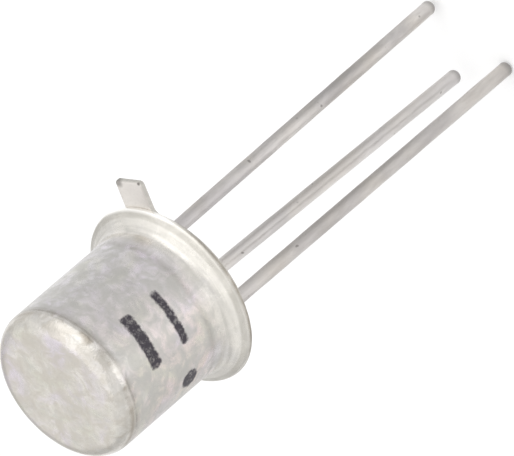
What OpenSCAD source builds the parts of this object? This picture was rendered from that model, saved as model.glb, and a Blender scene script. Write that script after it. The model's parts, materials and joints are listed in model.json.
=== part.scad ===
// Small transistor in a three-lead metal can of the TO-18 size. All sizes are in millimetres.
// It stands upright: the underside of the header's flange is z = 0, the can is above it and the
// leads hang below. Seen from above, the order anticlockwise is tab, emitter, base, collector.

/* [Can] */
// Outside diameter of the can's straight wall
can_d = 4.58; // [4.4:0.01:5.5]
// Height of the can's flat end above the seating plane
can_top = 5.06; // [4.2:0.01:6.2]
// Thickness of the can's drawn sheet
can_sheet = 0.2; // [0.16:0.01:0.25]
// Outside radius between the wall and the flat end
end_r = 0.58; // [0.3:0.01:0.9]
// How far the flange stands out from the wall
flange_w = 0.49; // [0.4:0.01:0.6]
// Outside radius of the flare that runs the wall into the flange
flare_r = 0.39; // [0.15:0.01:0.39]
// Radius on both edges of the flange's rim
rim_r = 0.08; // [0.02:0.01:0.08]
// Radius on the can's mouth, inside
mouth_r = 0.12; // [0.05:0.01:0.15]
// Height of the wall's slightly wider foot above the seating plane
foot_top = 1.25; // [1:0.01:1.5]
// How far the foot stands proud of the wall
foot_proud = 0.015; // [0.005:0.005:0.03]

/* [Header] */
// Thickness of the header's stamped sheet
header_sheet = 0.15; // [0.12:0.01:0.18]
// Step from the can flange's rim in to the header flange's rim
header_inset = 0.18; // [0.05:0.01:0.25]
// Height of the platform above the seating plane
platform_top = 0.95; // [0.8:0.01:1.2]
// Clearance between the platform's side and the can's inside
platform_gap = 0.09; // [0.05:0.01:0.12]
// Outside radius round the platform's top
platform_edge_r = 0.2; // [0.18:0.01:0.3]
// Outside radius between the platform's side and the flange
platform_foot_r = 0.1; // [0.05:0.01:0.12]
// Width of the glass ring round each post, where it passes through the platform
glass_ring = 0.275; // [0.15:0.005:0.29]

/* [Tab] */
// Angle from the emitter lead to the tab, seen from above
tab_angle = 43; // [40:0.5:50]
// Distance of the tab's tip from the can's axis
tab_reach = 3.6; // [3.3:0.01:4.2]
// Width of the tab at its tip
tab_tip_w = 1; // [0.91:0.01:1.17]
// Width of the tab where it leaves the flange
tab_root_w = 1.01; // [1:0.01:1.3]
// Radius on the tip's corners
tab_corner_r = 0.12; // [0.05:0.01:0.3]
// Radius between the tab's sides and the header's flange
tab_root_r = 0.25; // [0.1:0.01:0.4]

/* [Leads] */
// Diameter of each lead with its tin, below the seating plane
lead_d = 0.42; // [0.36:0.01:0.51]
// Thickness of the tin; the wire is bare in the glass and above it
tin_t = 0.01; // [0.005:0.005:0.02]
// Diameter of the circle that the three leads stand on
lead_circle = 2.54; // [2.12:0.01:2.7]
// Length of the emitter lead below the seating plane
emitter_length = 12.85; // [10:0.05:19]
// Length of the base lead below the seating plane
base_length = 12.6; // [10:0.05:19]
// Length of the collector lead below the seating plane
collector_length = 12.95; // [10:0.05:19]
// Lean of the emitter lead's lower end towards +X and +Y, in degrees
emitter_lean = [-0.54, -0.2]; // [-3:0.01:3]
// Lean of the base lead's lower end towards +X and +Y, in degrees
base_lean = [1.45, 0]; // [-3:0.01:3]
// Lean of the collector lead's lower end towards +X and +Y, in degrees
collector_lean = [0.43, 0.4]; // [-3:0.01:3]
// Radius round a lead's cut end
tip_r = 0.09; // [0.02:0.01:0.15]
// Height of the two wire-bonding posts above the platform
post_h = 0.35; // [0.2:0.01:0.6]
// Diameter of the nail head on top of a post
head_d = 0.62; // [0.55:0.01:0.8]
// Thickness of the nail head
head_t = 0.1; // [0.05:0.01:0.15]

/* [Glass] */
// Height of the glass's underside above the seating plane
glass_recess = 0.05; // [0.02:0.01:0.08]
// Radius of the fillet that the glass makes against each lead
creep_r = 0.055; // [0.02:0.005:0.055]

/* [Chip] */
// Side of the square silicon die
die_w = 0.5; // [0.3:0.01:0.8]
// Thickness of the die
die_t = 0.15; // [0.1:0.01:0.25]
// Thickness of the gold alloy under the die
attach_t = 0.02; // [0.01:0.005:0.04]
// How far the alloy spreads beyond the die's sides
attach_margin = 0.06; // [0.02:0.01:0.1]

/* [Bond wires] */
// Diameter of a bond wire
wire_d = 0.03; // [0.025:0.001:0.038]
// Rise of a wire's loop above the posts
loop_h = 0.4; // [0.2:0.01:0.8]
// Diameter of the ball bond on the die
ball_d = 0.09; // [0.07:0.01:0.11]
// Height of the ball bond
ball_h = 0.04; // [0.03:0.01:0.06]
// Distance of each ball bond from the die's centre
pad_offset = 0.13; // [0.08:0.01:0.14]

/* [Hidden] */
$fn = 96;
// How far a cutting shape runs past the surface that it cuts
over = 0.5;

can_r = can_d / 2;
can_ir = can_r - can_sheet;
end_ir = end_r - can_sheet;
flange_r = can_r + flange_w;
flange_top = header_sheet + can_sheet;
foot_r = can_r + foot_proud;
// The foot's top slopes out at one in ten
foot_blend = 10 * foot_proud;
// The flare ends before the rim's own rounding starts
flare = min(flare_r, flange_w - foot_proud - rim_r);

header_r = flange_r - header_inset;
platform_r = can_ir - platform_gap;
platform_ir = platform_r - header_sheet;
platform_under = platform_top - header_sheet;
platform_edge_ir = platform_edge_r - header_sheet;
funnel_r = platform_foot_r + header_sheet;

lead_r = lead_d / 2;
core_r = lead_r - tin_t;
// How far the bare wire runs on inside the tinned stretch, where a leaning lead still covers it
core_run = 0.05;
lead_pitch_r = lead_circle / 2;
emitter_at = [-lead_pitch_r, 0];
base_at = [0, -lead_pitch_r];
collector_at = [lead_pitch_r, 0];
post_top = platform_top + post_h;
glazed_r = core_r + glass_ring;

die_under = platform_top + attach_t;
die_top = die_under + die_t;

wire_sides = 8;
wire_steps = 24;
wire_r = wire_d / 2;
// Height of a wire's centre line when one of its flats lies on a surface
wire_rest = wire_r * cos(180 / wire_sides);
// Length, width and thickness of a wire's flattened end on a post
stitch = [0.12, 0.05, 0.012];

// What a concave fillet of radius r adds to a square corner at the origin
module concave_corner(r) {
  difference() {
    square(r);
    translate([r, r]) circle(r = r);
  }
}

// Half section of a round bar from the axis to radius r and height h, its top edge rounded by edge_r
module rounded_bar_section(r, h, edge_r) {
  square([r, h - edge_r]);
  square([r - edge_r, h]);
  translate([r - edge_r, h - edge_r]) circle(r = edge_r);
}

// ---- Can: one drawn cap, with a flat end, a straight wall and a flange that is welded down ----

module can_outside_section() {
  translate([0, header_sheet]) rounded_bar_section(can_r, can_top - header_sheet, end_r);
  polygon([
    [0, header_sheet], [foot_r, header_sheet],
    [foot_r, foot_top - foot_blend], [can_r, foot_top], [0, foot_top]
  ]);
  translate([foot_r, flange_top]) concave_corner(flare);
  translate([0, header_sheet]) square([flange_r - rim_r, can_sheet]);
  translate([0, header_sheet + rim_r]) square([flange_r, can_sheet - 2 * rim_r]);
  for (z = [header_sheet + rim_r, flange_top - rim_r])
    translate([flange_r - rim_r, z]) circle(r = rim_r);
}

module can_inside_section() {
  translate([0, header_sheet - over])
    rounded_bar_section(can_ir, can_top - can_sheet - header_sheet + over, end_ir);
  translate([can_ir, header_sheet]) concave_corner(mouth_r);
}

module can() {
  color("silver")
    rotate_extrude() difference() {
      can_outside_section();
      can_inside_section();
    }
}

// ---- Header: a stamped eyelet with a flange, a raised platform, two glazed holes and the tab ----

module header_outside_section() {
  rounded_bar_section(platform_r, platform_top, platform_edge_r);
  translate([platform_r, header_sheet]) concave_corner(platform_foot_r);
  square([header_r, header_sheet]);
}

// The hollow under the platform, which widens like a funnel where the sheet bends out to the flange
module header_inside_section() {
  rounded_bar_section(platform_ir, platform_under, platform_edge_ir);
  translate([platform_ir, 0]) concave_corner(funnel_r);
}

// The tab's upper half along +X: it narrows a little to the tip, and fillets run it into the flange
module half_tab_outline() {
  corner = [tab_reach - tab_corner_r, tab_tip_w / 2 - tab_corner_r];
  fillet_y = tab_root_w / 2 + tab_root_r;
  fillet_x = sqrt(pow(header_r + tab_root_r, 2) - pow(fillet_y, 2));
  on_flange = [fillet_x, fillet_y] * header_r / (header_r + tab_root_r);
  polygon([
    [0, 0], [corner.x, 0], [corner.x, tab_tip_w / 2],
    [fillet_x, tab_root_w / 2], [0, tab_root_w / 2]
  ]);
  square([tab_reach, corner.y]);
  translate(corner) circle(r = tab_corner_r);
  difference() {
    polygon([[0, 0], [fillet_x, tab_root_w / 2], [fillet_x, fillet_y], on_flange]);
    translate([fillet_x, fillet_y]) circle(r = tab_root_r);
  }
}

module tab_outline() {
  half_tab_outline();
  mirror([0, 1]) half_tab_outline();
}

module header_eyelet() {
  color("gainsboro")
    difference() {
      union() {
        rotate_extrude() header_outside_section();
        rotate([0, 0, 180 - tab_angle]) linear_extrude(header_sheet) tab_outline();
      }
      rotate_extrude() header_inside_section();
      for (at = [emitter_at, base_at])
        translate([at.x, at.y, platform_under - over]) cylinder(r = glazed_r, h = header_sheet + 2 * over);
    }
}

// ---- Leads: upright in the glass, and bent a little where they leave it at the seating plane ----

module lead(at, top, length, lean) {
  translate([at.x, at.y, -core_run]) cylinder(r = core_r, h = top + core_run);
  translate([at.x, at.y, 0]) rotate([lean.y, -lean.x, 0])
    rotate_extrude() mirror([0, 1]) rounded_bar_section(lead_r, length, tip_r);
}

// A lead that goes on through the platform as a bonding post, with a nail head pressed on its top
module post_lead(at, length, lean) {
  lead(at, post_top - head_t / 2, length, lean);
  translate([at.x, at.y, post_top - head_t]) cylinder(d = head_d, h = head_t);
}

module emitter_lead() {
  color("lightgray") post_lead(emitter_at, emitter_length, emitter_lean);
}

module base_lead() {
  color("lightgray") post_lead(base_at, base_length, base_lean);
}

// The collector lead is butt-welded to the platform's underside, so the can carries the collector
module collector_lead() {
  color("lightgray") lead(collector_at, platform_under, collector_length, collector_lean);
}

// ---- Glass: fills the header's hollow and both glazed holes, and creeps a little down each lead ----

// The creep meets the wire at an angle, so its section starts a little way inside the wire
module glass_creep() {
  start_r = core_r - creep_r / 5;
  rotate_extrude() mirror([0, 1]) translate([start_r, 0]) {
    concave_corner(creep_r);
    translate([0, -glass_recess]) square([creep_r, glass_recess]);
  }
}

module glass_seal() {
  color("darkslategray")
    difference() {
      union() {
        intersection() {
          rotate_extrude() header_inside_section();
          translate([0, 0, glass_recess]) cylinder(r = header_r, h = platform_top);
        }
        for (at = [emitter_at, base_at])
          translate([at.x, at.y, platform_under - header_sheet])
            cylinder(r = glazed_r, h = 2 * header_sheet);
        for (at = [emitter_at, base_at, collector_at])
          translate([at.x, at.y, glass_recess]) glass_creep();
      }
      for (at = [emitter_at, base_at, collector_at])
        translate([at.x, at.y, -over]) cylinder(r = core_r, h = platform_top + 2 * over);
    }
}

// ---- Chip: the die on its gold alloy, at the centre of the platform ----

module silicon_die() {
  color("slategray")
    translate([-die_w / 2, -die_w / 2, die_under]) cube([die_w, die_w, die_t]);
}

module die_attach() {
  attach_w = die_w + 2 * attach_margin;
  color("gold")
    translate([-attach_w / 2, -attach_w / 2, platform_top]) cube([attach_w, attach_w, attach_t]);
}

// ---- Bond wires: a ball on the die, a loop, and a flat stitch on the post's nail head ----

// Point at t along the cubic curve of the four points p, and the direction there
function curve_point(p, t) =
  pow(1 - t, 3) * p[0] + 3 * t * pow(1 - t, 2) * p[1] + 3 * t * t * (1 - t) * p[2] + pow(t, 3) * p[3];
function curve_heading(p, t) =
  let (d = pow(1 - t, 2) * (p[1] - p[0]) + 2 * t * (1 - t) * (p[2] - p[1]) + t * t * (p[3] - p[2]))
  d / norm(d);

// Corners of the wire's ring at t, with a flat on its underside; side is level, across the loop
function wire_ring(p, side, t) =
  let (c = curve_point(p, t), up = cross(side, curve_heading(p, t)))
  [for (i = [0:wire_sides - 1]) let (a = (i + 0.5) * 360 / wire_sides)
    c + wire_r * (cos(a) * side + sin(a) * up)];

module swept_wire(p, side) {
  corners = [for (i = [0:wire_steps]) each wire_ring(p, side, i / wire_steps)];
  last = wire_steps * wire_sides;
  polyhedron(
    points = corners,
    faces = concat(
      [[for (k = [wire_sides - 1:-1:0]) k]],
      [for (i = [0:wire_steps - 1], k = [0:wire_sides - 1])
        let (a = i * wire_sides, n = (k + 1) % wire_sides)
        [a + k, a + n, a + wire_sides + n, a + wire_sides + k]],
      [[for (k = [0:wire_sides - 1]) last + k]]
    )
  );
}

// A wire from the die to the post at the given place, in the upright plane through both
module bond_wire(post_at) {
  heading = post_at / norm(post_at);
  away = [heading.x, heading.y, 0];
  pad = pad_offset * away;
  post = norm(post_at) * away;
  start = pad + [0, 0, die_top + ball_h / 2];
  end = post + [0, 0, post_top + wire_rest];
  span = norm(post - pad);
  route = [start, start + [0, 0, post_top - die_top + loop_h], end - away * span / 2, end];
  color("gold") {
    translate([pad.x, pad.y, die_top]) cylinder(d = ball_d, h = ball_h);
    swept_wire(route, cross([0, 0, 1], away));
    translate([post.x, post.y, post_top]) rotate([0, 0, atan2(away.y, away.x)])
      translate([-stitch.x / 2, -stitch.y / 2, 0]) cube(stitch);
  }
}

module emitter_bond_wire() {
  bond_wire(emitter_at);
}

module base_bond_wire() {
  bond_wire(base_at);
}

can();
header_eyelet();
glass_seal();
emitter_lead();
base_lead();
collector_lead();
silicon_die();
die_attach();
emitter_bond_wire();
base_bond_wire();
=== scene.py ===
"""Looks for a small transistor in a three-lead metal can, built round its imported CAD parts.

Sizes below are in millimetres. A mesh is written in metres, in the frame of the CAD parts.
"""
import json
import math

import bpy
import numpy as np
from mathutils import Matrix, Vector
from mathutils.geometry import delaunay_2d_cdt


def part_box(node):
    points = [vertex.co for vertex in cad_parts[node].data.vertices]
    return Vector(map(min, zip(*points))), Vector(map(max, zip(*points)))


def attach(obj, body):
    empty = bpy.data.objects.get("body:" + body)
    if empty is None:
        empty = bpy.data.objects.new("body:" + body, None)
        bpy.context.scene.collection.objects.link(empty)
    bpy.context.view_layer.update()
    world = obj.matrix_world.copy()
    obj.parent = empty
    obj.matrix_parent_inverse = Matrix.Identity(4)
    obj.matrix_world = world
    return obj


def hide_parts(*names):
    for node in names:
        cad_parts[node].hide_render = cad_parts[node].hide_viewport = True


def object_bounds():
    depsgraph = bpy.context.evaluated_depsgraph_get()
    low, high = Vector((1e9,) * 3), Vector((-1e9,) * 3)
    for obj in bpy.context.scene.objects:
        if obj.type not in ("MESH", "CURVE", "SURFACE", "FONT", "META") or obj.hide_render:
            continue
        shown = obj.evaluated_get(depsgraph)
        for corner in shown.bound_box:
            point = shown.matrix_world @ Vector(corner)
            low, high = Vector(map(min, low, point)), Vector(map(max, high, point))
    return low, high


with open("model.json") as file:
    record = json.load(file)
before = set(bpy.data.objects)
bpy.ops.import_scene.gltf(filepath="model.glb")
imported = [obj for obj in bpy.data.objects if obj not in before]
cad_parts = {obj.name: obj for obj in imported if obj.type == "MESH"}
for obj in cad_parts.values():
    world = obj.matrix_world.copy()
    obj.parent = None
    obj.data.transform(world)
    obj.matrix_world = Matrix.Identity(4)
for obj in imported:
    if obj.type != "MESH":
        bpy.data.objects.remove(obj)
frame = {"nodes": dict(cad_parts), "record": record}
cad_low, cad_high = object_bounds()

MM = 0.001
MOUNTS = {mount["name"]: mount for mount in frame["record"]["mounts"]}
WHITE = (1, 1, 1, 1)
# Depth of the relief in the metal's plate and tin
FINE_RELIEF = 0.004


# ---- Curves that a section is made of, each without its last point ----
def line(start, end, count):
    """Points at even steps along the straight line from start to end."""
    share = np.arange(count)[:, None] / count
    return np.array(start) + share * (np.array(end) - np.array(start))


def arc(centre, radius, first, last, count):
    """Points at even steps round a circle, from the first angle to the last, in degrees."""
    angle = np.radians(first + (last - first) * np.arange(count) / count)
    return np.array(centre) + radius * np.stack([np.cos(angle), np.sin(angle)], axis=-1)


def whole_turn(count):
    """Angles at even steps round a whole turn, anticlockwise."""
    return np.arange(count) * 2 * np.pi / count


def toward(turn):
    """The way from the Z axis at a turn in degrees: (cos t, sin t)."""
    return math.cos(math.radians(turn)), math.sin(math.radians(turn))


def unit(ways):
    """The same ways, each with a length of one."""
    return ways / np.linalg.norm(ways, axis=-1, keepdims=True)


def smooth_step(value):
    """Runs from 0 to 1 as value does, flat at both ends: 3 v^2 - 2 v^3."""
    value = np.clip(value, 0, 1)
    return value * value * (3 - 2 * value)


# The most waves of an uneven field that run round a piece
MOST_WAVES_ROUND = 6


def ripples(around, along, waves, longest, shortest, seed):
    """A smooth uneven field between 0 and 1: the mean of cosine waves of random direction.

    Each wave is cos(m * around + k * along + phase), with a whole number m so that it closes
    round the piece, and a length along the piece between the longest and the shortest.
    """
    draw = np.random.default_rng(seed)
    turns = draw.integers(0, MOST_WAVES_ROUND + 1, waves)
    pace = 2 * np.pi / draw.uniform(shortest, longest, waves)
    phase = draw.uniform(0, 2 * np.pi, waves)
    field = np.cos(around[..., None] * turns + along[..., None] * pace + phase).sum(axis=-1)
    return 0.5 + 0.5 * field / np.abs(field).max()


# ---- Meshes ----
# Faces that meet at a sharper angle than this keep a hard edge between them
HARD_EDGE = math.radians(50)


def put_in_scene(name, data):
    """An object in the scene for a mesh, a lamp or a camera."""
    made = bpy.data.objects.new(name, data)
    bpy.context.scene.collection.objects.link(made)
    return made


def skin(name, points, *faces):
    """A mesh from its points in millimetres and from blocks of faces, each with one corner count."""
    corners = np.concatenate([block.ravel() for block in faces])
    counts = np.concatenate([np.full(len(block), block.shape[1]) for block in faces])
    mesh = bpy.data.meshes.new(name)
    mesh.vertices.add(len(points))
    mesh.vertices.foreach_set("co", (points * MM).ravel())
    mesh.loops.add(len(corners))
    mesh.loops.foreach_set("vertex_index", corners)
    mesh.polygons.add(len(counts))
    mesh.polygons.foreach_set("loop_start", np.concatenate([[0], np.cumsum(counts)[:-1]]))
    mesh.polygons.foreach_set("use_smooth", np.ones(len(counts), bool))
    mesh.update(calc_edges=True)
    mesh.validate()
    mesh.set_sharp_from_angle(angle=HARD_EDGE)
    return put_in_scene(name, mesh)


def strip(rows, columns, first=0):
    """Four-sided faces between neighbouring rings of points, each ring anticlockwise."""
    here = np.arange(columns)
    beside = (here + 1) % columns
    row = first + columns * np.arange(rows - 1)[:, None]
    faces = [row + here, row + columns + here, row + columns + beside, row + beside]
    return np.stack(faces, axis=-1).reshape(-1, 4)


def closed_mesh(name, rings, first_pole, last_pole):
    """A closed skin: rings of points from one pole to the other, each ring anticlockwise.

    Neighbouring rings are joined by four-sided faces, and the end rings to their pole by fans.
    """
    rows, columns = rings.shape[:2]
    points = np.concatenate([[first_pole], rings.reshape(-1, 3), [last_pole]])
    here = np.arange(columns)
    beside = (here + 1) % columns
    final = 1 + columns * (rows - 1)
    first_fan = np.stack([np.zeros(columns, int), 1 + here, 1 + beside], axis=-1)
    last_fan = np.stack([np.full(columns, len(points) - 1), final + beside, final + here], axis=-1)
    return skin(name, points, strip(rows, columns, 1), first_fan, last_fan)


def point_value(piece, name, values):
    """Keeps one number for each point of a piece, for its material to read."""
    attribute = piece.data.attributes.new(name, "FLOAT", "POINT")
    attribute.data.foreach_set("value", values.astype(np.float32).ravel())


def install(piece, material, node):
    """Gives a piece its material and lets it stand for its CAD part."""
    piece.data.materials.append(material)
    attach(piece, "root")
    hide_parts(node)


# ---- Materials ----
class Nodes:
    """A node tree that starts empty, with a short call for each kind of step."""

    def __init__(self, owner):
        owner.use_nodes = True
        self.tree = owner.node_tree
        self.tree.nodes.clear()

    def step(self, kind, inputs=None, **settings):
        """Adds a node of one kind, sets it, and feeds its inputs with numbers or other outputs."""
        made = self.tree.nodes.new(kind)
        for name, value in settings.items():
            setattr(made, name, value)
        for name, value in (inputs or {}).items():
            self.plug(value, made.inputs[name])
        return made

    def plug(self, value, socket):
        """Feeds one input with a number, a colour or another node's output."""
        if isinstance(value, bpy.types.NodeSocket):
            self.tree.links.new(value, socket)
        else:
            socket.default_value = value

    def attribute(self, name):
        """The number that a piece keeps for each of its points."""
        return self.step("ShaderNodeAttribute", attribute_name=name).outputs["Fac"]

    def combine(self, operation, first, *others):
        """Arithmetic on numbers: the first with the second, the result with the third, and on."""
        for other in others:
            first = self.step("ShaderNodeMath", {0: first, 1: other}, operation=operation).outputs[0]
        return first

    def times(self, *numbers):
        """The product of the numbers."""
        return self.combine("MULTIPLY", *numbers)

    def plus(self, *numbers):
        """The sum of the numbers."""
        return self.combine("ADD", *numbers)

    def seen_directly(self):
        """One for a ray from the camera, a mirror or through glass, and zero for any other."""
        rays = self.step("ShaderNodeLightPath").outputs
        return self.combine(
            "MAXIMUM", rays["Is Camera Ray"], rays["Is Glossy Ray"], rays["Is Transmission Ray"])


class Finish(Nodes):
    """A piece's material. Its patterns are in millimetres, and its tint is built up in coats."""

    def __init__(self, name):
        self.material = bpy.data.materials.new(name)
        super().__init__(self.material)
        self.shader = self.step("ShaderNodeBsdfPrincipled")
        self.step("ShaderNodeOutputMaterial", {"Surface": self.shader.outputs["BSDF"]})
        metres = self.step("ShaderNodeTexCoord").outputs["Object"]
        self.place = self.step(
            "ShaderNodeMapping", {"Vector": metres, "Scale": (1 / MM, 1 / MM, 1 / MM)}).outputs["Vector"]
        parts = self.step("ShaderNodeSeparateXYZ", {0: self.place}).outputs
        self.x, self.y, self.height = parts["X"], parts["Y"], parts["Z"]
        self.radius = self.measure("LENGTH", self.vector("MULTIPLY", self.place, (1, 1, 0)))
        self.tint = None

    def vector(self, operation, first, second):
        """Arithmetic on two places or ways."""
        made = self.step("ShaderNodeVectorMath", {0: first, 1: second}, operation=operation)
        return made.outputs["Vector"]

    def measure(self, operation, first, second=(0, 0, 0)):
        """A number from one or two places or ways: a length, a distance or a dot product."""
        made = self.step("ShaderNodeVectorMath", {0: first, 1: second}, operation=operation)
        return made.outputs["Value"]

    def apart(self, value, centre):
        """How far a number is from another, either way."""
        return self.combine("ABSOLUTE", self.combine("SUBTRACT", value, centre), 0.0)

    def ringed(self, around, across):
        """A place that turns with the angle about the Z axis, and climbs across the section.

        It is around times (x, y) / r, and across times (r - z), so a pattern on it closes round
        the piece, and with a small first number it is drawn out into rings. Next to the axis r
        counts as 0.01, so that nothing is divided by zero.
        """
        share = self.combine("DIVIDE", 1.0, self.combine("MAXIMUM", self.radius, 0.01))
        wide = self.vector("MULTIPLY", self.place, (around, around, 0))
        turned = self.step("ShaderNodeVectorMath", {0: wide, 3: share}, operation="SCALE").outputs["Vector"]
        climb = self.times(self.combine("SUBTRACT", self.radius, self.height), across)
        lifted = self.step("ShaderNodeCombineXYZ", {2: climb}).outputs[0]
        return self.vector("ADD", turned, lifted)

    def drawn_out(self, share):
        """The place with its height scaled, to draw a pattern out along the Z axis."""
        return self.vector("MULTIPLY", self.place, (1.0, 1.0, share))

    def noise(self, scale, detail=2.0, roughness=0.5, place=None, distortion=0.0):
        """Cloudy noise about 0.5, with scale clouds to a millimetre."""
        made = self.step("ShaderNodeTexNoise", {
            "Vector": place or self.place, "Scale": scale, "Detail": detail, "Roughness": roughness,
            "Distortion": distortion})
        return made.outputs["Fac"]

    def between(self, value, low, high, to_low=0.0, to_high=1.0):
        """Carries the range from low to high over to another range, and holds it at both ends."""
        made = self.step("ShaderNodeMapRange", {
            "Value": value, "From Min": low, "From Max": high, "To Min": to_low, "To Max": to_high})
        return made.outputs["Result"]

    def mix(self, share, first, second):
        """A number between two numbers."""
        made = self.step("ShaderNodeMix", {"Factor": share, 2: first, 3: second}, data_type="FLOAT")
        return made.outputs[0]

    def blend(self, share, first, second):
        """A colour between two colours."""
        first, second = (
            value if isinstance(value, bpy.types.NodeSocket) else (*value, 1.0) for value in (first, second))
        made = self.step("ShaderNodeMix", {"Factor": share, 6: first, 7: second}, data_type="RGBA")
        return made.outputs[2]

    def coat(self, share, colour):
        """Lays a colour over the tint so far, with a share from 0 to 1."""
        self.tint = self.blend(share, self.tint, colour)

    def relief(self, height, depth):
        """Raises the surface by height times depth, as shading only."""
        bump = self.step("ShaderNodeBump", {"Height": height, "Distance": depth * MM, "Strength": 1.0})
        self.plug(bump.outputs["Normal"], self.shader.inputs["Normal"])

    def feed(self, **inputs):
        """Feeds the shader with the tint and with its own inputs by name, and gives the material."""
        self.plug(self.tint, self.shader.inputs["Base Color"])
        for name, value in inputs.items():
            self.plug(value, self.shader.inputs["IOR" if name == "ior" else name.title()])
        return self.material


# ---- Can: sizes ----
CAN_LOW, CAN_HIGH = (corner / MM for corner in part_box("can"))
CAN_TOP = CAN_HIGH.z
FLANGE_UNDER = CAN_LOW.z
FLANGE_R = CAN_HIGH.x
WALL_R = MOUNTS["can_barrel"]["dims"]["r_mm"]
SHEET = 0.2
END_R = 0.58
FLARE_R = 0.32
RIM_R = 0.13
RIM_UNDER_R = 0.02
# The flange thins to this at its rim, and its top slopes down to it by this many degrees
RIM_T = 0.18
FLANGE_SLOPE = 32.0
MOUTH_R = 0.12
# Below its top the wall's foot stands proud, and it blends into the wall over a short height
FOOT_TOP = 1.25
FOOT_PROUD = 0.015
FOOT_BLEND = 0.3
CAN_ROUNDS = 288
# The can is uneven by this much, inwards, but not within these lengths of its rim and its axis
DENT = 0.006
EVEN_RIM = 0.2
EVEN_MIDDLE = 0.6

# Ink marks on the wall: angle of the centre, height of the centre, half length round the wall,
# half width along it, and corner radius
INK_MARKS = (
    (67.0, 3.32, 0.84, 0.19, 0.08),
    (67.0, 2.12, 0.84, 0.12, 0.06),
    (16.0, 2.2, 0.3, 0.3, 0.3),
)
# Stands for a point with no ink mark near it
NO_INK = 9.0

# The way from the axis out along the locating tab, which is the eyelet's farthest corner
TAB_WAY = toward(137)

# ---- Can: zones and marks of its finish ----
# A pair is where something starts and where it is full, or where it starts to end and has ended
CORNER_Z = (4.4, 4.6)
CORNER_R = (1.88, 2.1)
WALL_END_Z = (4.4, 4.8)
FOOT_END_Z = (0.8, 1.2)
# The wall's plate turns from cool to warm between these two sides, along X
WALL_SIDES = (-1.5, 2.0)
# Painted shade as dark lines round the wall: height, half width and strength
WALL_SHADE_LINES = ((1.22, 0.14, 0.3), (4.42, 0.12, 0.35), (4.47, 0.06, 0.6))
# The scuffed line on the corner: its height, its half width, and how far to either side of the
# axis it gets stronger
SCUFF_Z = 4.6
SCUFF_HALF = (0.03, 0.12)
SCUFF_SIDE = (1.4, 2.1)
# A scrape on the corner, and a pale spot that is a painted highlight: angle, height, radius, strength and
# colour
CORNER_SCRAPE_AND_GLINT = (
    (92.0, 4.64, 0.2, 0.7, (0.3, 0.27, 0.23)),
    (63.0, 4.6, 0.32, 0.45, (0.85, 0.82, 0.77)),
)
# Heights over which the painted light on the flange and the flare's lower part ends
FLARE_LIGHT_Z = (0.5, 0.66)
# A ring of painted shade on the flange: its radius, and its half width
SHADE_RING_R = 2.67
SHADE_RING_HALF = (0.05, 0.1)
# Painted shade along the seam at the rim, which stops where the way out along the tab gets this long
SEAM_SHADE_R = (2.6, 2.7)
SEAM_SHADE_Z = (0.21, 0.28)
SEAM_SHADE_TO_TAB = (1.9, 2.45)
# The rim is lightened as a painted highlight from this far out along the tab, and up to these heights
HIGHLIGHT_TO_TAB = (2.4, 2.6)
HIGHLIGHT_Z = (0.26, 0.32)

# Tints of the plate, of what dulled, rubbed or marked it, and of painted highlights and painted shade
PLATE_DULL = (0.6, 0.572, 0.53)
PLATE_BRIGHT = (0.71, 0.678, 0.63)
WALL_COOL = (0.645, 0.622, 0.644)
WALL_WARM = (0.69, 0.6, 0.565)
LAVENDER_CAST = (0.655, 0.6, 0.665)
OLIVE_CAST = (0.602, 0.596, 0.515)
# Painted highlight on the corner
CORNER_PAINTED_HIGHLIGHT = (0.72, 0.695, 0.65)
# Painted light on the foot, flare and flange
FOOT_PAINTED_LIGHT = (0.79, 0.76, 0.705)
SMUDGE = (0.465, 0.455, 0.44)
BLOOM = (0.66, 0.645, 0.65)
END_FLECK = (0.55, 0.515, 0.46)
WALL_FLECK = (0.485, 0.475, 0.45)
DARK_GRAIN = (0.4, 0.39, 0.37)
RUBBED = (0.5, 0.49, 0.45)
# Painted shade of the dark lines round the wall
WALL_LINE_SHADE = (0.27, 0.25, 0.22)
# Painted light on the flange and the flare's lower part
FLARE_PAINTED_LIGHT = (0.785, 0.76, 0.705)
SCUFF = (0.3, 0.26, 0.21)
# Painted shade of the ring on the flange
FLANGE_RING_SHADE = (0.5, 0.48, 0.435)
# Painted shade along the seam at the rim
SEAM_SHADE = (0.24, 0.21, 0.17)
# Painted highlight on the rim by the tab
TAB_ROOT_HIGHLIGHT = (1.0, 0.985, 0.95)
INK = (0.03, 0.023, 0.034)


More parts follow.
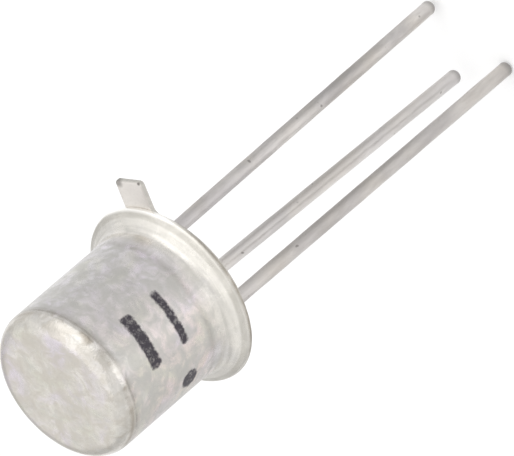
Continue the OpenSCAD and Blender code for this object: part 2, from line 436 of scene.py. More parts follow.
class CanFinish(Finish):
    """Satin nickel plate, with the patterns and the zones of the can that its layers share."""

    def __init__(self):
        super().__init__("can_nickel")
        self.clouds = self.noise(0.9, detail=3.0, roughness=0.55, distortion=0.5)
        self.patches = self.noise(2.2, detail=4.0, roughness=0.6, distortion=0.8)
        self.smears = self.noise(
            1.0, detail=4.0, roughness=0.6, place=self.ringed(4.0, 2.6), distortion=0.6)
        self.turned = self.noise(1.0, roughness=0.55, place=self.ringed(2.0, 6.0))
        self.grain = self.noise(12.0, detail=3.0, roughness=0.7)
        self.on_wall = self.between(self.height, *WALL_END_Z, 1.0, 0.0)
        self.on_foot = self.between(self.height, *FOOT_END_Z, 1.0, 0.0)
        self.on_corner = self.times(
            self.between(self.height, *CORNER_Z), self.between(self.radius, *CORNER_R))

    def plate(self):
        """Bright plate, cooler on one side of the wall than on the other, with faint casts, a painted
        highlight on the corner and painted light on the foot.
        """
        cast = self.noise(0.8, roughness=0.6, distortion=0.6)
        self.tint = self.blend(self.between(self.clouds, 0.3, 0.7), PLATE_DULL, PLATE_BRIGHT)
        self.coat(self.on_wall, self.blend(self.between(self.x, *WALL_SIDES), WALL_COOL, WALL_WARM))
        self.coat(self.between(cast, 0.5, 0.65, 0.0, 0.8), LAVENDER_CAST)
        self.coat(self.between(cast, 0.5, 0.35, 0.0, 0.8), OLIVE_CAST)
        # Painted highlight: the corner is lightened
        self.coat(self.times(self.on_corner, 0.8), CORNER_PAINTED_HIGHLIGHT)
        # Painted light: the foot, flare and flange are lightened
        self.coat(self.times(self.on_foot, 0.9), FOOT_PAINTED_LIGHT)

    def handling(self):
        """Smudges, bloom, flecks and circles rubbed round the can, with fine dark grain."""
        smudges = self.times(
            self.between(self.smears, 0.43, 0.62), self.mix(self.on_wall, 0.35, 0.8),
            self.mix(self.on_foot, 1.0, 0.45))
        self.coat(smudges, SMUDGE)
        self.coat(self.times(self.between(self.clouds, 0.5, 0.68), self.mix(self.on_wall, 0.1, 0.5)), BLOOM)
        flecks = self.times(self.between(self.patches, 0.42, 0.6), 0.75, self.mix(self.on_foot, 1.0, 0.4))
        self.coat(flecks, self.blend(self.on_wall, END_FLECK, WALL_FLECK))
        self.coat(self.between(self.grain, 0.55, 0.8, 0.0, 0.3), DARK_GRAIN)
        circles = self.times(
            self.between(self.turned, 0.45, 0.7), self.mix(self.on_foot, 0.1, 0.5), self.on_wall)
        self.coat(circles, RUBBED)

    def wear_and_painted_light(self):
        """Painted shade in lines round the wall, painted light on the flange, and a scuff, a scrape and a
        painted highlight on the corner.
        """
        # Painted shade: dark lines round the wall
        for line_z, half_width, strength in WALL_SHADE_LINES:
            ring = self.between(
                self.apart(self.height, line_z), 0.2 * half_width, half_width, strength, 0.0)
            self.coat(self.times(ring, self.between(self.smears, 0.35, 0.55, 0.4, 1.0)), WALL_LINE_SHADE)
        # Painted light: the flange and the flare's lower part are lightened
        flare_light = self.between(self.height, *FLARE_LIGHT_Z, 0.6, 0.0)
        self.coat(self.times(flare_light, self.between(self.turned, 0.35, 0.6, 1.0, 0.5)), FLARE_PAINTED_LIGHT)
        broken = self.noise(1.0, roughness=0.6, place=self.ringed(5.0, 1.0))
        strongest = self.combine(
            "MAXIMUM", self.between(self.apart(self.x, 0.0), *SCUFF_SIDE, 0.0, 0.6),
            self.between(broken, 0.5, 0.6, 0.0, 0.6))
        on_line = self.between(self.apart(self.height, SCUFF_Z), *SCUFF_HALF, 1.0, 0.0)
        self.coat(self.times(strongest, on_line), SCUFF)
        # A dark scrape, and a pale spot that is a painted highlight
        for turn, mark_z, reach, strength, colour in CORNER_SCRAPE_AND_GLINT:
            mark_r = WALL_R - END_R + math.sqrt(END_R ** 2 - (mark_z - CAN_TOP + END_R) ** 2)
            cos, sin = toward(turn)
            from_mark = self.measure("DISTANCE", self.place, (mark_r * cos, mark_r * sin, mark_z))
            self.coat(self.between(from_mark, 0.3 * reach, reach, strength, 0.0), colour)

    def joint(self):
        """Painted shade in a ring near the rim and along the seam at the rim, and a painted highlight on the
        rim by the tab.
        """
        to_tab = self.measure("DOT_PRODUCT", self.place, (*TAB_WAY, 0))
        # Painted shade: a darker ring on the flange near its rim
        shade_ring = self.between(self.apart(self.radius, SHADE_RING_R), *SHADE_RING_HALF, 0.75, 0.0)
        self.coat(self.times(shade_ring, self.between(self.smears, 0.35, 0.6, 0.5, 1.0)), FLANGE_RING_SHADE)
        # Painted shade along the seam at the rim, which stops short of the tab
        seam_shade = self.times(
            self.between(self.radius, *SEAM_SHADE_R), self.between(self.height, *SEAM_SHADE_Z, 1.0, 0.0),
            self.between(self.smears, 0.35, 0.6, 0.5, 0.9), self.between(to_tab, *SEAM_SHADE_TO_TAB, 1.0, 0.0))
        self.coat(seam_shade, SEAM_SHADE)
        # Painted highlight: the rim is lightened where it meets the tab
        tab_highlight = self.times(
            self.between(to_tab, *HIGHLIGHT_TO_TAB), self.between(self.height, *HIGHLIGHT_Z, 1.0, 0.0))
        self.coat(tab_highlight, TAB_ROOT_HIGHLIGHT)

    def ink(self):
        """Lays the ink marks on, ragged at the edge and worn, and gives their share."""
        ragged = self.between(self.noise(7.0, detail=4.0, roughness=0.7), 0.2, 0.8, -0.06, 0.06)
        edge = self.plus(self.attribute("ink_edge"), ragged)
        worn = self.noise(9.0, detail=4.0, roughness=0.75)
        inked = self.times(
            self.between(edge, -0.03, 0.035, 1.0, 0.0), self.between(worn, 0.5, 0.72, 1.0, 0.5))
        self.coat(inked, INK)
        return inked

    def uneven(self):
        """Grain and patches in relief, with drawing lines up the wall and knocks on the corner."""
        drawn = self.noise(9.0, detail=3.0, roughness=0.6, place=self.drawn_out(0.07))
        knocks = self.noise(5.0, roughness=0.6, distortion=0.4)
        height = self.plus(
            self.times(self.grain, 0.6), self.times(drawn, 0.5), self.times(self.patches, 3.5),
            self.times(self.turned, self.on_foot, 0.8), self.times(knocks, self.on_corner, 2.6))
        self.relief(height, FINE_RELIEF)


def can_finish():
    """Satin nickel plate: cloudy patches, fine grain, drawing lines on the wall, and worn ink."""
    steel = CanFinish()
    steel.plate()
    steel.handling()
    steel.wear_and_painted_light()
    steel.joint()
    inked = steel.ink()
    steel.uneven()
    rough = steel.between(steel.plus(steel.patches, steel.grain), 0.7, 1.4, 0.24, 0.4)
    rough = steel.mix(steel.on_corner, rough, steel.times(rough, 0.55))
    return steel.feed(
        metallic=steel.combine("SUBTRACT", 1.0, inked), roughness=steel.mix(inked, rough, 0.5))


# ---- Can: shape ----
def can_section():
    """The can's closed section from the outside of its end, round the flange, to the inside."""
    inner_r = WALL_R - SHEET
    inner_end_r = END_R - SHEET
    inner_top = CAN_TOP - SHEET
    steep = 90 - FLANGE_SLOPE
    outward = np.array(toward(steep))
    rim_at = np.array([FLANGE_R - RIM_R, FLANGE_UNDER + RIM_T - RIM_R])
    flare_x = WALL_R + FOOT_PROUD + FLARE_R
    # The sloping top touches both the flare's circle from below and the rim's from above
    rise = (FLARE_R + RIM_R + (rim_at[0] - flare_x) * outward[0]) / outward[1]
    flare_at = np.array([flare_x, rim_at[1] + rise])
    under_at = np.array([FLANGE_R - RIM_UNDER_R, FLANGE_UNDER + RIM_UNDER_R])
    wall = line((WALL_R, CAN_TOP - END_R), (WALL_R, flare_at[1]), 84)
    wall[:, 0] += FOOT_PROUD * smooth_step((FOOT_TOP - wall[:, 1]) / FOOT_BLEND)
    return np.concatenate([
        line((0, CAN_TOP), (WALL_R - END_R, CAN_TOP), 40),
        arc((WALL_R - END_R, CAN_TOP - END_R), END_R, 90, 0, 30),
        wall,
        arc(flare_at, FLARE_R, 180, 180 + steep, 24),
        line(flare_at - FLARE_R * outward, rim_at + RIM_R * outward, 5),
        arc(rim_at, RIM_R, steep, 0, 10),
        line(rim_at + (RIM_R, 0), (FLANGE_R, under_at[1]), 1),
        arc(under_at, RIM_UNDER_R, 0, -90, 6),
        line((under_at[0], FLANGE_UNDER), (inner_r + MOUTH_R, FLANGE_UNDER), 8),
        arc((inner_r + MOUTH_R, FLANGE_UNDER + MOUTH_R), MOUTH_R, 270, 180, 8),
        line((inner_r, FLANGE_UNDER + MOUTH_R), (inner_r, inner_top - inner_end_r), 16),
        arc((inner_r - inner_end_r, inner_top - inner_end_r), inner_end_r, 0, 90, 12),
        line((inner_r - inner_end_r, inner_top), (0, inner_top), 12),
        [(0, inner_top)]])


def ink_edge(points):
    """Distance from each point to the nearest mark's edge, below zero inside it.

    A mark is a box with rounded corners, laid on the wall: length(max(|p| - half, 0)) - corner.
    """
    angle = np.degrees(np.arctan2(points[..., 1], points[..., 0]))
    nearest = np.full(angle.shape, NO_INK)
    for centre, height, half_long, half_wide, corner in INK_MARKS:
        round_wall = np.radians(angle - centre) * WALL_R
        past = np.stack([
            np.abs(round_wall) - half_long + corner,
            np.abs(points[..., 2] - height) - half_wide + corner], axis=-1)
        outside = np.linalg.norm(np.maximum(past, 0), axis=-1)
        nearest = np.minimum(nearest, outside + np.minimum(past.max(axis=-1), 0) - corner)
    inside_can = np.hypot(points[..., 0], points[..., 1]) < WALL_R - SHEET / 2
    return np.where(inside_can, NO_INK, nearest)


def make_can():
    """The drawn cap: its section turned about the Z axis, uneven by a few thousandths, inwards.

    A point is (r cos u, r sin u, z) at a turn u, where (r, z) is the section's point moved
    along the section's own outward way by the dent at that place.
    """
    section = can_section()
    around = whole_turn(CAN_ROUNDS)
    run = np.concatenate([[0], np.cumsum(np.linalg.norm(np.diff(section, axis=0), axis=1))])
    heading = unit(np.gradient(section, axis=0))
    outward = np.stack([-heading[:, 1], heading[:, 0]], axis=-1)
    grid_around, grid_along = np.meshgrid(around, run[1:-1])
    dent = -DENT * ripples(grid_around, grid_along, waves=24, longest=4.0, shortest=1.0, seed=7)
    reach = section[1:-1, 0]
    free = smooth_step((FLANGE_R - reach) / EVEN_RIM) * smooth_step(reach / EVEN_MIDDLE)
    dent = dent * free[:, None]
    radius = section[1:-1, 0, None] + dent * outward[1:-1, 0, None]
    height = section[1:-1, 1, None] + dent * outward[1:-1, 1, None]
    rings = np.stack([radius * np.cos(around), radius * np.sin(around), height], axis=-1)
    piece = closed_mesh("can_shell", rings, (0, 0, section[0, 1]), (0, 0, section[-1, 1]))
    edge = ink_edge(rings).ravel()
    point_value(piece, "ink_edge", np.concatenate([[NO_INK], edge, [NO_INK]]))
    install(piece, can_finish(), "can")


# ---- Header: sizes and finish ----
HEADER_LOW, HEADER_HIGH = (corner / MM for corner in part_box("header_eyelet"))
HEADER_SHEET = FLANGE_UNDER - HEADER_LOW.z
# The header's flange is smaller than the can's, and its platform stands clear of the can's wall
HEADER_INSET = 0.18
PLATFORM_GAP = 0.09
HEADER_R = FLANGE_R - HEADER_INSET
PLATFORM_TOP = HEADER_HIGH.z
PLATFORM_UNDER = PLATFORM_TOP - HEADER_SHEET
PLATFORM_R = WALL_R - SHEET - PLATFORM_GAP
PLATFORM_EDGE_R = 0.2
PLATFORM_FOOT_R = 0.1
GLAZED_R = 0.475
GLAZED_POINTS = 48
# How the platform's flat faces are cut into triangles, and how close two corners count as one
INSIDE_THE_EDGES = 1
SAME_POINT = 1e-6
TAB_TIP_W = 1.0
TAB_ROOT_W = 1.01
TAB_ROOT_R = 0.25
TAB_CORNER_R = 0.12
TAB_REACH = TAB_CORNER_R + (
    -HEADER_LOW.x - TAB_CORNER_R - (TAB_TIP_W / 2 - TAB_CORNER_R) * abs(TAB_WAY[1])) / abs(TAB_WAY[0])
# The stamped edge rolls over on top, where the punch went in, and is nearly sharp underneath
ROLLED_R = 0.05
UNDERSIDE_R = 0.02
EDGE_ROWS = 7
# The last rows of the underside's rounding, which don't look torn as the sheared edge does
UNTORN_ROWS = 3
# Where the rings of the flange's flat faces lie, as shares of the way across
FACE_SHARES = (0.04, 0.3, 0.6, 0.9, 0.98)

# A nick on the tab's tip, and painted shade on its other corner: distance along it, distance across it,
# radius, and darkness
TAB_NICK_AND_SHADE = ((3.57, -0.42, 0.07, 0.85), (3.55, 0.38, 0.2, 0.6))
# Tints of the header's plate, and of its edge, its nick and the painted shade on the tab's tip
HEADER_DULL = (0.69, 0.655, 0.62)
HEADER_BRIGHT = (0.74, 0.705, 0.665)
HEADER_GRAIN = (0.48, 0.47, 0.45)
SHEARED_METAL = (0.49, 0.475, 0.44)
TAB_NICK_AND_SHADE_TINT = (0.12, 0.11, 0.1)


def header_finish():
    """Satin nickel plate on the stamped header, dull and darker on its sheared edges, with a nick and
    painted shade on the tab's tip.
    """
    steel = Finish("header_nickel")
    clouds = steel.noise(1.1, detail=3.0, roughness=0.6)
    grain = steel.noise(12.0, detail=3.0, roughness=0.7)
    sheared = steel.attribute("sheared")
    torn = steel.noise(10.0, roughness=0.6, place=steel.drawn_out(0.15))
    steel.tint = steel.blend(steel.between(clouds, 0.35, 0.65), HEADER_DULL, HEADER_BRIGHT)
    steel.coat(steel.between(grain, 0.55, 0.8, 0.0, 0.3), HEADER_GRAIN)
    steel.coat(steel.times(sheared, steel.between(torn, 0.3, 0.7, 0.6, 1.0)), SHEARED_METAL)
    cos, sin = TAB_WAY
    # A dark nick on one corner of the tab's tip, and painted shade on the other
    for along, across, reach, dark in TAB_NICK_AND_SHADE:
        mark_at = (along * cos - across * sin, along * sin + across * cos, HEADER_SHEET)
        from_mark = steel.measure("DISTANCE", steel.place, mark_at)
        steel.coat(steel.between(from_mark, 0.4 * reach, reach, dark, 0.0), TAB_NICK_AND_SHADE_TINT)
    steel.relief(grain, FINE_RELIEF)
    rough = steel.plus(steel.between(grain, 0.3, 0.7, 0.28, 0.38), steel.times(sheared, 0.12))
    return steel.feed(metallic=1.0, roughness=rough)


# ---- Header: shape ----
def header_outline():
    """The flange and its tab from above: each point on the outline, and the way out from it."""
    corner_x, corner_y = TAB_REACH - TAB_CORNER_R, TAB_TIP_W / 2 - TAB_CORNER_R
    fillet_y = TAB_ROOT_W / 2 + TAB_ROOT_R
    fillet_x = math.sqrt((HEADER_R + TAB_ROOT_R) ** 2 - fillet_y ** 2)
    meet = math.degrees(math.atan2(fillet_y, fillet_x))
    half = np.concatenate([
        line((TAB_REACH, 0), (TAB_REACH, corner_y), 6),
        arc((corner_x, corner_y), TAB_CORNER_R, 0, 90, 10),
        line((corner_x, TAB_TIP_W / 2), (fillet_x, TAB_ROOT_W / 2), 12),
        arc((fillet_x, fillet_y), TAB_ROOT_R, -90, meet - 180, 12),
        arc((0, 0), HEADER_R, meet, 180, 90)])
    outline = np.concatenate([half, [(-HEADER_R, 0)], (half[1:] * (1, -1))[::-1]])
    ahead = unit(np.roll(outline, -1, axis=0) - outline)
    tangent = unit(ahead + np.roll(ahead, 1, axis=0))
    out = np.stack([tangent[:, 1], -tangent[:, 0]], axis=-1)
    cos, sin = TAB_WAY
    turn = np.array([[cos, sin], [-sin, cos]])
    return outline @ turn, out @ turn


def hat_section():
    """The platform's outside from its flat top, down its side, to the flange: radius and height."""
    return np.concatenate([
        arc((PLATFORM_R - PLATFORM_EDGE_R, PLATFORM_TOP - PLATFORM_EDGE_R), PLATFORM_EDGE_R, 90, 0, 9),
        line((PLATFORM_R, PLATFORM_TOP - PLATFORM_EDGE_R), (PLATFORM_R, HEADER_SHEET + PLATFORM_FOOT_R), 4),
        arc((PLATFORM_R + PLATFORM_FOOT_R, HEADER_SHEET + PLATFORM_FOOT_R), PLATFORM_FOOT_R, 180, 270, 6),
        [(PLATFORM_R + PLATFORM_FOOT_R, HEADER_SHEET)]])


def hollow_section():
    """The hollow under the platform from its funnel mouth up to the flat: radius and height."""
    under_r = PLATFORM_R - HEADER_SHEET
    under_edge_r = PLATFORM_EDGE_R - HEADER_SHEET
    funnel_r = PLATFORM_FOOT_R + HEADER_SHEET
    return np.concatenate([
        arc((under_r + funnel_r, funnel_r), funnel_r, 270, 180, 12),
        line((under_r, funnel_r), (under_r, PLATFORM_UNDER - under_edge_r), 4),
        arc((under_r - under_edge_r, PLATFORM_UNDER - under_edge_r), under_edge_r, 0, 90, 5),
        [(under_r - under_edge_r, PLATFORM_UNDER)]])


def at_height(flat, height):
    """Flat rings of points, each ring lifted to its height."""
    height = np.asarray(height)[:, None, None]
    return np.concatenate([flat, np.broadcast_to(height, flat[..., :1].shape)], axis=-1)


def between_rings(first, last):
    """Rings of points on the straight lines from one ring to another."""
    shares = np.array(FACE_SHARES)[:, None, None]
    return (1 - shares) * first + shares * last


def plate_with_holes(rim, holes):
    """Triangles that fill a flat rim but for its round holes, with corners counted along both."""
    flat = np.concatenate([rim, holes.reshape(-1, 2)])
    edges = []
    first = 0
    for loop in (rim, *holes):
        here = np.arange(len(loop))
        edges += (first + np.stack([here, (here + 1) % len(loop)], axis=-1)).tolist()
        first += len(loop)
    points = [Vector(point) for point in flat]
    _, _, triangles, origins, _, _ = delaunay_2d_cdt(points, edges, [], INSIDE_THE_EDGES, SAME_POINT)
    corner = np.array([origin[0] for origin in origins])
    plate = corner[np.array(triangles)]
    middle = flat[plate].mean(axis=1)
    from_hole = np.linalg.norm(middle[:, None] - holes.mean(axis=1), axis=-1).min(axis=1)
    return plate[from_hole > GLAZED_R]


def make_header():
    """The stamped eyelet: one grid of rings, from the platform's edge out, round and back under it.

    The rings on the platform and in the hollow are a section turned about Z. The rings on the
    flange's edge are its outline, moved in by r (1 - cos a) while the height follows r sin a. The
    two flat faces of the platform, each with its two glazed holes, close the grid.
    """
    outline, out = header_outline()
    angle = np.arctan2(outline[:, 1], outline[:, 0])
    spokes = np.stack([np.cos(angle), np.sin(angle)], axis=-1)

    def turned(section):
        """A section carried round the Z axis, with a point on each spoke."""
        return at_height(section[:, None, :1] * spokes, section[:, 1])

    def moved_in(inset, height):
        """The outline as rings, each moved in square to itself and lifted to its height."""
        return at_height(outline - inset[:, None, None] * out, height)

    quarter = np.radians(np.linspace(90, 0, EDGE_ROWS))
    back = quarter[::-1]
    hat, hollow = turned(hat_section()), turned(hollow_section())
    rolled = moved_in(ROLLED_R * (1 - np.cos(quarter)), HEADER_SHEET - ROLLED_R * (1 - np.sin(quarter)))
    under_edge = moved_in(UNDERSIDE_R * (1 - np.cos(back)), UNDERSIDE_R * (1 - np.sin(back)))
    top_face, under_face = between_rings(hat[-1], rolled[0]), between_rings(under_edge[-1], hollow[0])
    rings = np.concatenate([hat, top_face, rolled, under_edge, under_face, hollow])
    sheared = np.concatenate([
        np.zeros(len(hat) + len(top_face)), np.sin(np.linspace(0, np.pi / 2, EDGE_ROWS)) ** 3,
        np.ones(EDGE_ROWS - UNTORN_ROWS), np.zeros(UNTORN_ROWS + len(under_face) + len(hollow))])

    # The platform's flat faces share one layout: a round plate with two holes
    rows, columns = rings.shape[:2]
    hole = arc((0, 0), GLAZED_R, 0, 360, GLAZED_POINTS)
    posts = [np.array(MOUNTS[name]["pos_m"][:2]) / MM for name in ("emitter_pin", "base_pin")]
    holes = np.stack([hole + post for post in posts])
    plate = plate_with_holes(rings[0, :, :2], holes)
    # Each hole's wall is two rings of points, the first on the top face and the second underneath
    wall_z = [PLATFORM_TOP, PLATFORM_UNDER] * len(holes)
    walls = at_height(np.repeat(holes, 2, axis=0), wall_z).reshape(-1, 3)
    wall_starts = rows * columns + GLAZED_POINTS * np.arange(4)
    top_1, under_1, top_2, under_2 = wall_starts[:, None] + np.arange(GLAZED_POINTS)
    on_top = np.concatenate([np.arange(columns), top_1, top_2])
    on_under = np.concatenate([(rows - 1) * columns + np.arange(columns), under_1, under_2])
    hole_walls = [strip(2, GLAZED_POINTS, first)[:, ::-1] for first in wall_starts[::2]]
    piece = skin(
        "stamped_header", np.concatenate([rings.reshape(-1, 3), walls]), strip(rows, columns), *hole_walls,
        on_top[plate], on_under[plate][:, ::-1])
    point_value(piece, "sheared", np.concatenate([np.repeat(sheared, columns), np.zeros(len(walls))]))
    install(piece, header_finish(), "header_eyelet")


# ---- Leads: sizes and finish ----
TIN_T = 0.01
# The CAD's tip is rounded by this, and the tin rounds it further, by the radius in LEADS
TIP_R = 0.09
HEAD_R = 0.31
HEAD_T = 0.1
HEAD_EDGE_R = 0.02
POST_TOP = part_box("emitter_lead")[1].z / MM
LEAD_ROUNDS = 40
LEAD_ROWS = 380
DOWN = np.array([0, 0, -1.0])
Y_WAY = np.array([0, 1.0, 0])
# Each lead's top, whether a nail head is on it, its tinned tip's radius, and a seed for its tin
LEADS = (
    ("emitter", POST_TOP, True, 0.17, 11),
    ("base", POST_TOP, True, 0.17, 12),
    ("collector", PLATFORM_UNDER, False, 0.12, 13),
)
# The tin is up to this much thinner in places, but not within these lengths of its top and its tip
THIN_TIN = 0.007
EVEN_TOP = 0.3
EVEN_TIP = 0.1
# The dull end starts this far before the tip, and is full after the second length
DULL_END = 0.32
DULL_RUN = 0.24

# Tints of the tin
TIN_DULL = (0.485, 0.462, 0.449)
TIN_BRIGHT = (0.68, 0.65, 0.622)
TIN_PITS = (0.425, 0.4, 0.388)
TIN_WIPED = (0.463, 0.445, 0.432)
TIN_COOL_CAST = (0.55, 0.528, 0.542)
TIN_WARM_CAST = (0.6, 0.555, 0.5)
BASE_TIN = (0.79, 0.766, 0.745)
COLLECTOR_TIN = (0.41, 0.384, 0.36)
TIN_SPECKS = (0.15, 0.14, 0.13)
TIN_TIP = (0.28, 0.27, 0.26)


def tin_finish():
    """Dull hot tin: soft blotches along the wire, faint wipe lines and a few dark specks."""
    tin = Finish("tinned_lead")
    blotches = tin.noise(1.3, detail=4.0, roughness=0.6, place=tin.drawn_out(0.4), distortion=0.5)
    pits = tin.noise(3.5, detail=3.0, roughness=0.6, place=tin.drawn_out(0.2))
    wiped = tin.noise(16.0, roughness=0.6, place=tin.drawn_out(0.06))
    grain = tin.noise(15.0, detail=3.0, roughness=0.7)
    specks = tin.noise(4.0, detail=1.0)
    cast = tin.noise(0.7, roughness=0.6, place=tin.drawn_out(0.7))
    tin.tint = tin.blend(tin.between(blotches, 0.35, 0.65), TIN_DULL, TIN_BRIGHT)
    tin.coat(tin.between(pits, 0.44, 0.62, 0.0, 0.6), TIN_PITS)
    tin.coat(tin.between(wiped, 0.5, 0.8, 0.0, 0.4), TIN_WIPED)
    tin.coat(tin.between(cast, 0.5, 0.65, 0.0, 0.4), TIN_COOL_CAST)
    tin.coat(tin.between(cast, 0.5, 0.35, 0.0, 0.5), TIN_WARM_CAST)
    # The base lead took its tin brighter than the other two, and the collector lead duller
    tin.coat(tin.between(tin.y, -0.7, -1.0, 0.0, 0.3), BASE_TIN)
    tin.coat(tin.between(tin.x, 0.7, 1.0, 0.0, 0.3), COLLECTOR_TIN)
    tin.coat(tin.between(specks, 0.73, 0.78, 0.0, 0.6), TIN_SPECKS)
    tin.coat(tin.times(tin.attribute("dull_tip"), 0.75), TIN_TIP)
    tin.relief(tin.plus(grain, tin.times(blotches, 3.0), tin.times(pits, 1.5)), FINE_RELIEF)
    return tin.feed(metallic=1.0, roughness=tin.between(pits, 0.3, 0.7, 0.28, 0.44))


# ---- Leads: shape ----
def lead_section(wire_r, top, length, headed, tip_r):
    """Distance from the wire's middle line against the way along it, from its top to its tip.

    The bare wire starts at the top, with a nail head on a bonding post. The tin starts at the
    seating plane, where the way along is zero, and ends in a rounded tip.
    """
    core_r = wire_r - TIN_T
    head_edge = HEAD_R - HEAD_EDGE_R
    head_under = -top + HEAD_T
    head = [
        line((0, -top), (head_edge, -top), 5),
        arc((head_edge, -top + HEAD_EDGE_R), HEAD_EDGE_R, -90, 0, 4),
        arc((head_edge, head_under - HEAD_EDGE_R), HEAD_EDGE_R, 0, 90, 4),
        line((head_edge, head_under), (core_r, head_under), 3),
        line((core_r, head_under), (core_r, 0), 8),
    ]
    butt = [line((0, -top), (core_r, -top), 5), line((core_r, -top), (core_r, 0), 8)]
    return np.concatenate([
        *(head if headed else butt),
        line((core_r, 0), (wire_r, 2 * TIN_T), 4),
        line((wire_r, 2 * TIN_T), (wire_r, length - tip_r), LEAD_ROWS),
        arc((wire_r - tip_r, length - tip_r), tip_r, 0, 90, 11),
        line((wire_r - tip_r, length), (0, length), 2),
        [(0, length)]])


def make_lead(name, top, headed, tip_r, seed):
    """A round wire carried along its middle line: upright to the seating plane, then leaning.

    At a turn u and a way s along it the surface is c(s) + r(s) (cos u a + sin u b), where a and
    b stand square to the middle line, and r is a little less than the tin's full size in places.
    """
    mount = MOUNTS[name + "_pin"]
    foot = np.array(mount["pos_m"]) / MM
    axis = np.array(mount["axis"])
    length = mount["dims"]["length_mm"] + TIP_R
    section = lead_section(mount["dims"]["r_mm"], top, length, headed, tip_r)
    around = -whole_turn(LEAD_ROUNDS)
    reach, along = section[1:-1].T
    grid_around, grid_along = np.meshgrid(around, along)
    to_tip = length - grid_along
    tinned = smooth_step(grid_along / EVEN_TOP) * smooth_step((to_tip - tip_r) / EVEN_TIP)
    uneven = ripples(grid_around, grid_along, waves=30, longest=3.0, shortest=0.5, seed=seed)
    radius = reach[:, None] - THIN_TIN * tinned * uneven
    heading = np.where(along[:, None] > 0, axis, DOWN)
    middle = foot + along[:, None] * heading
    side = unit(np.cross(Y_WAY, heading))
    front = np.cross(heading, side)
    outward = np.cos(around)[:, None] * side[:, None] + np.sin(around)[:, None] * front[:, None]
    rings = middle[:, None] + radius[..., None] * outward
    piece = closed_mesh(name + "_wire", rings, foot + (0, 0, top), foot + length * axis)
    dull = smooth_step((DULL_END - to_tip) / DULL_RUN)
    point_value(piece, "dull_tip", np.concatenate([[0.0], dull.ravel(), [1.0]]))
    return piece


# ---- Finishes of the parts that keep their CAD shape ----
GLASS_DARK = (0.018, 0.026, 0.024)
GLASS_CLOUDY = (0.04, 0.055, 0.05)
GLASS_BUBBLE = (0.16, 0.2, 0.19)
SILICON_BLUE = (0.2, 0.22, 0.26)
SILICON_GREY = (0.27, 0.27, 0.3)
GOLD_DEEP = (0.9, 0.62, 0.22)
GOLD_BRIGHT = (1.0, 0.76, 0.36)


def glass_finish():
    """Dark sealing glass, smooth, with fine bubbles and a slight cloudiness."""
    glass = Finish("seal_glass")
    cloud = glass.noise(1.5, detail=3.0)
    bubbles = glass.noise(18.0, detail=1.0)
    glass.tint = glass.blend(glass.between(cloud, 0.35, 0.65), GLASS_DARK, GLASS_CLOUDY)
    glass.coat(glass.between(bubbles, 0.7, 0.8, 0.0, 0.6), GLASS_BUBBLE)
    glass.relief(cloud, 0.01)
    return glass.feed(roughness=glass.between(bubbles, 0.4, 0.8, 0.06, 0.25), ior=1.52)


def silicon_finish():
    """Polished silicon: blue grey, almost a mirror, and faintly cloudy."""
    chip = Finish("silicon")
    cloud = chip.noise(6.0)
    chip.tint = chip.blend(chip.between(cloud, 0.3, 0.7), SILICON_BLUE, SILICON_GREY)
    chip.relief(cloud, 0.0005)
    return chip.feed(metallic=0.7, roughness=chip.between(cloud, 0.3, 0.7, 0.08, 0.16))


def gold_finish():
    """Bright soft gold, slightly uneven."""
    gold = Finish("gold")
    cloud = gold.noise(20.0, detail=3.0)
    gold.tint = gold.blend(gold.between(cloud, 0.3, 0.7), GOLD_DEEP, GOLD_BRIGHT)
    gold.relief(cloud, 0.001)
    return gold.feed(metallic=1.0, roughness=gold.between(cloud, 0.3, 0.7, 0.18, 0.32))


# ---- Stage: floor, light and camera ----
# Soft boxes: azimuth, elevation, distance, width, height and brightness
LIGHTS = (
    ("key_box", 123.6, 18, 90, 130, 110, 0.33),
    ("key_core", 123.6, 13, 88, 80, 64, 0.42),
    ("top_box", 98.6, 72, 90, 120, 100, 0.3),
    ("fill_box", -101.4, 38, 110, 160, 120, 0.14),
    ("side_box", 163.6, 62, 90, 70, 60, 0.2),
)
# Cards that gloss sees: near and far radius, first and last turn, level, low and high edge
LOW_EDGE = cad_low.z / MM + 0.5
CARDS = (
    ("bright_card", 3.5, 130, 26, 68, 1.45, LOW_EDGE, 8),
    ("lead_card", 2.5, 18, 80, 260, 0.6, LOW_EDGE, LOW_EDGE),
    ("wall_card", 12, 80, 80, 205, 0.95, LOW_EDGE, LOW_EDGE),
    ("far_card", 14, 80, -90, -15, 0.9, LOW_EDGE, LOW_EDGE),
    ("back_card", 90, 90, -175, 5, 0.72, LOW_EDGE, 45),
)
CARD_ROWS, CARD_COLUMNS = 9, 33
# How much of a card's whole width is the soft edge on each side, along it and across it
SOFT_ALONG, SOFT_ACROSS = 0.35, 0.2
ROOM_LIGHT = 0.9
# The floor's half width, and how far it lies under the leads' tips
FLOOR_HALF = 600
FLOOR_GAP = 0.01
FLOOR_TINT = (0.8, 0.8, 0.8, 1)
FLOOR_LIFT = 0.25
# The camera stands far off with a long lens, and sees this width where the part is
CAMERA_DISTANCE = 300
VIEW_WIDTH = 13.892
CAMERA_AZIMUTH, CAMERA_ELEVATION, CAMERA_ROLL = 78.6, 34.1, -130.83
# It aims this far from the origin, to its own right and up
AIM_RIGHT, AIM_UP = 2.198, 1.689
SENSOR_WIDTH = 36
# The nearest and farthest that it sees, in metres
NEAREST_SEEN, FARTHEST_SEEN = 0.01, 10


def looking_back(azimuth, elevation):
    """The side, up and back ways of a lamp or camera that faces the origin from these angles.

    Back is (cos e cos a, cos e sin a, sin e), side is (-sin a, cos a, 0), and up is square to both.
    """
    a, e = math.radians(azimuth), math.radians(elevation)
    back = np.array([math.cos(e) * math.cos(a), math.cos(e) * math.sin(a), math.sin(e)])
    side = np.array([-math.sin(a), math.cos(a), 0])
    return side, np.cross(back, side), back


def stand(thing, side, up, back, place):
    """Stands a lamp or a camera at a place in metres, turned to its side, up and back ways."""
    thing.matrix_world = Matrix([*zip(side, up, back, place), (0, 0, 0, 1)])


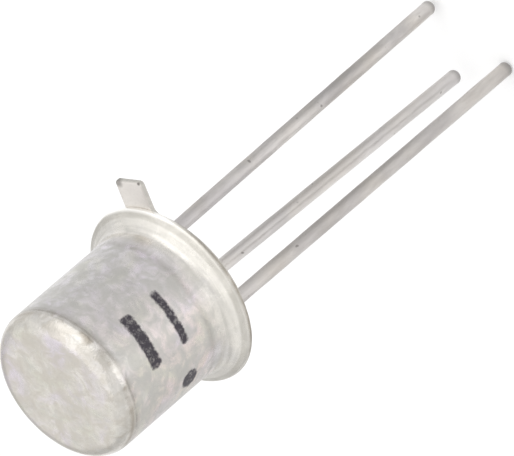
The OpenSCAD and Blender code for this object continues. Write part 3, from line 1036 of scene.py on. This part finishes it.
def stage_light(name, azimuth, elevation, distance, width, height, radiance):
    """A soft box that faces the part: an oblong lamp with the brightness asked for."""
    lamp = bpy.data.lights.new(name, "AREA")
    lamp.shape = "RECTANGLE"
    lamp.size, lamp.size_y = width * MM, height * MM
    lamp.energy = radiance * math.pi * lamp.size * lamp.size_y
    box = put_in_scene(name, lamp)
    side, up, back = looking_back(azimuth, elevation)
    stand(box, side, up, back, back * distance * MM)
    box.visible_camera = False


def stage_card(name, near, far, first, last, level, low, high):
    """A soft-edged card that only gloss sees: part of a ring round the part.

    At a turn u and a share v the surface is ((1 - v) near + v far) (cos u, sin u), at the height
    (1 - v) low + v high. It glows at the level in its middle and as white as the floor at its edges.
    """
    turn_share = np.linspace(0, 1, CARD_COLUMNS)
    turns = np.radians(first + (last - first) * turn_share)
    share = np.linspace(0, 1, CARD_ROWS)[:, None]
    reach = (1 - share) * near + share * far
    height = (1 - share) * low + share * high + 0 * turns
    points = np.stack([reach * np.cos(turns), reach * np.sin(turns), height], axis=-1).reshape(-1, 3) * MM
    across = smooth_step((0.5 - np.abs(share - 0.5)) / SOFT_ACROSS)
    middle = smooth_step((0.5 - np.abs(turn_share - 0.5)) / SOFT_ALONG) * across
    here = (np.arange(CARD_COLUMNS - 1) + CARD_COLUMNS * np.arange(CARD_ROWS - 1)[:, None]).ravel()
    faces = np.stack([here, here + 1, here + CARD_COLUMNS + 1, here + CARD_COLUMNS], axis=-1)
    mesh = bpy.data.meshes.new(name)
    mesh.from_pydata(points.tolist(), [], faces.tolist())
    card = put_in_scene(name, mesh)
    point_value(card, "glow", 1 + (level - 1) * middle)
    material = bpy.data.materials.new(name)
    nodes = Nodes(material)
    glow = nodes.step("ShaderNodeEmission", {"Strength": nodes.attribute("glow")})
    nodes.step("ShaderNodeOutputMaterial", {"Surface": glow.outputs[0]})
    mesh.materials.append(material)
    card.visible_camera = card.visible_diffuse = card.visible_shadow = False


def make_room():
    """White surroundings of an even light level."""
    world = bpy.data.worlds.new("room")
    nodes = Nodes(world)
    light = nodes.step("ShaderNodeBackground", {"Color": WHITE, "Strength": ROOM_LIGHT})
    white = nodes.step("ShaderNodeBackground", {"Color": WHITE})
    mixed = nodes.step(
        "ShaderNodeMixShader", {"Fac": nodes.seen_directly(), 1: light.outputs[0], 2: white.outputs[0]})
    nodes.step("ShaderNodeOutputWorld", {"Surface": mixed.outputs[0]})
    bpy.context.scene.world = world


def make_floor():
    """A pale floor just under the leads' tips, lifted to white where it is seen directly."""
    half = FLOOR_HALF * MM
    level = cad_low.z - FLOOR_GAP * MM
    mesh = bpy.data.meshes.new("floor")
    mesh.from_pydata(
        [(-half, -half, level), (half, -half, level), (half, half, level), (-half, half, level)],
        [], [(0, 1, 2, 3)])
    floor = put_in_scene("floor", mesh)
    material = bpy.data.materials.new("pale_floor")
    nodes = Nodes(material)
    paper = nodes.step("ShaderNodeBsdfDiffuse", {"Color": FLOOR_TINT})
    share = nodes.times(nodes.seen_directly(), FLOOR_LIFT)
    lift = nodes.step("ShaderNodeEmission", {"Color": WHITE, "Strength": share})
    both = nodes.step("ShaderNodeAddShader", {0: paper.outputs[0], 1: lift.outputs[0]})
    nodes.step("ShaderNodeOutputMaterial", {"Surface": both.outputs[0]})
    mesh.materials.append(material)


def make_camera():
    """A long lens from above the can's end, rolled so that the leads point up to the right."""
    level_right, level_up, back = looking_back(CAMERA_AZIMUTH, CAMERA_ELEVATION)
    cos, sin = toward(CAMERA_ROLL)
    right = cos * level_right + sin * level_up
    up = -sin * level_right + cos * level_up
    data = bpy.data.cameras.new("camera")
    data.sensor_width = SENSOR_WIDTH
    data.lens = data.sensor_width * CAMERA_DISTANCE / VIEW_WIDTH
    data.clip_start, data.clip_end = NEAREST_SEEN, FARTHEST_SEEN
    camera = put_in_scene("camera", data)
    stand(camera, right, up, back, (CAMERA_DISTANCE * back + AIM_RIGHT * right + AIM_UP * up) * MM)
    bpy.context.scene.camera = camera


# ---- The whole scene ----
make_camera()
make_room()
make_floor()
for soft_box in LIGHTS:
    stage_light(*soft_box)
for card in CARDS:
    stage_card(*card)
bpy.context.scene.view_settings.view_transform = "Standard"

make_can()
make_header()
tin = tin_finish()
for name, *shape in LEADS:
    install(make_lead(name, *shape), tin, name + "_lead")

glass, silicon, gold = glass_finish(), silicon_finish(), gold_finish()
for node, material in (
        ("glass_seal", glass), ("silicon_die", silicon), ("die_attach", gold),
        ("emitter_bond_wire", gold), ("base_bond_wire", gold)):
    frame["nodes"][node].material_slots[0].material = material
